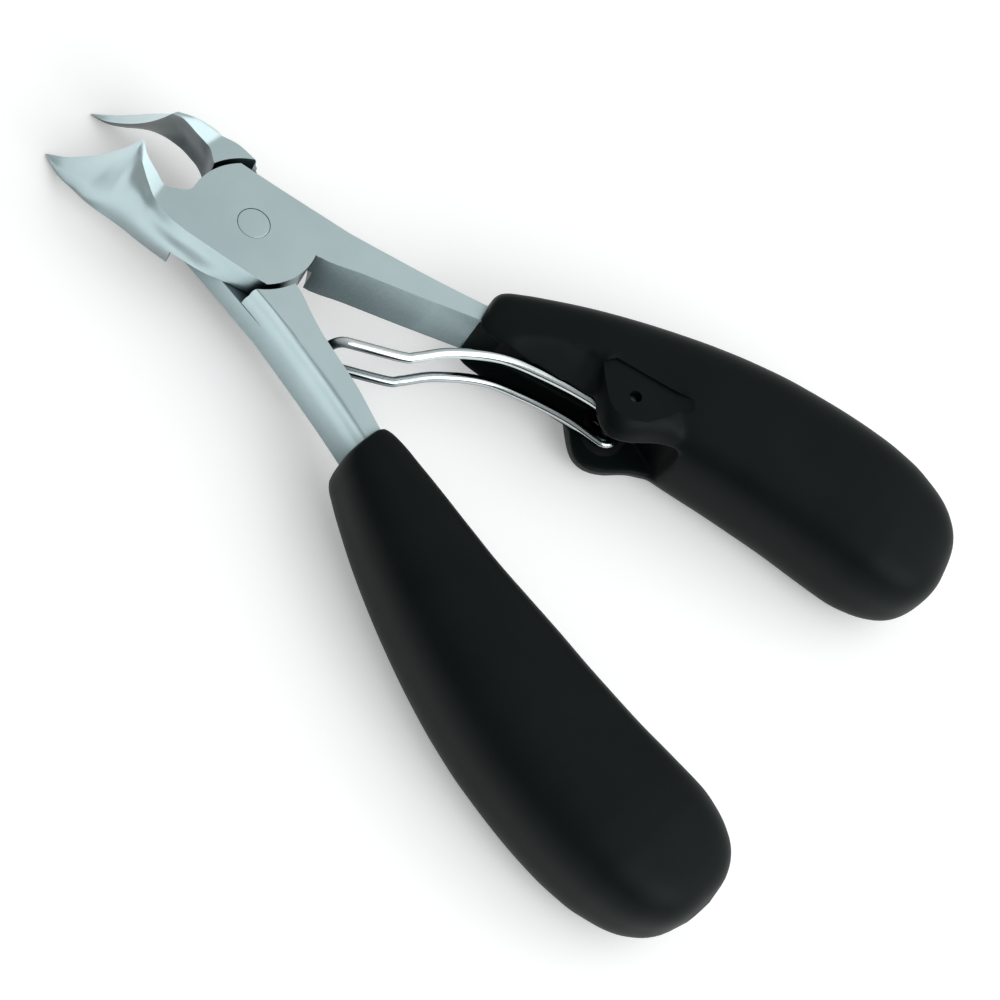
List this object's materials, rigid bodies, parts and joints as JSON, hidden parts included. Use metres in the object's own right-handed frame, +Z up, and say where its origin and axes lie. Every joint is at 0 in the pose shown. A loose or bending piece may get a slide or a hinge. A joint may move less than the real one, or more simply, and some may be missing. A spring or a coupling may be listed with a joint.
{
  "type": "nail clipper",
  "caption": "Lap-jointed toenail nipper with curved concave jaws, plump soft grips and a pinned wire return spring.",
  "frame": {"origin": "middle of the bounding box at rest, on the plane that the tool lies on", "axes": "+X from the jaws to the grip ends, +Z up through the rivet away from the table, +Y to the grip that holds the spring"},
  "size_m": [0.1336, 0.0864, 0.019],
  "materials": {
    "arm_steel": "satin ground stainless steel",
    "rivet_steel": "satin stainless steel",
    "spring_wire": "bright drawn spring wire",
    "soft_grip": "matte soft-touch black",
    "grip_core": "moulded black plastic"
  },
  "bodies": {
    "right_half": {"top_arm": "arm_steel", "pivot_rivet": "rivet_steel", "right_grip": "soft_grip", "right_grip_core": "grip_core", "spring_pin": "rivet_steel"},
    "left_half": {"bottom_arm": "arm_steel", "left_grip": "soft_grip", "left_grip_core": "grip_core"},
    "spring": {"wire_spring": "spring_wire"}
  },
  "joints": [
    {"name": "jaw_pivot", "type": "hinge", "parent": "right_half", "child": "left_half", "pos_m": [-0.03765, 0, 0.0094], "axis": [0, 0, 1], "range_deg": [0, 18.8], "stiffness_Nm_per_rad": 1.5},
    {"name": "spring_flex", "type": "hinge", "parent": "right_half", "child": "spring", "pos_m": [0.01675, 0.01732, 0.0094], "axis": [0, 0, 1], "range_deg": [-10.6, 0]}
  ],
  "couplings": [
    {"joint": "spring_flex", "follows": "jaw_pivot", "ratio": -0.56}
  ]
}
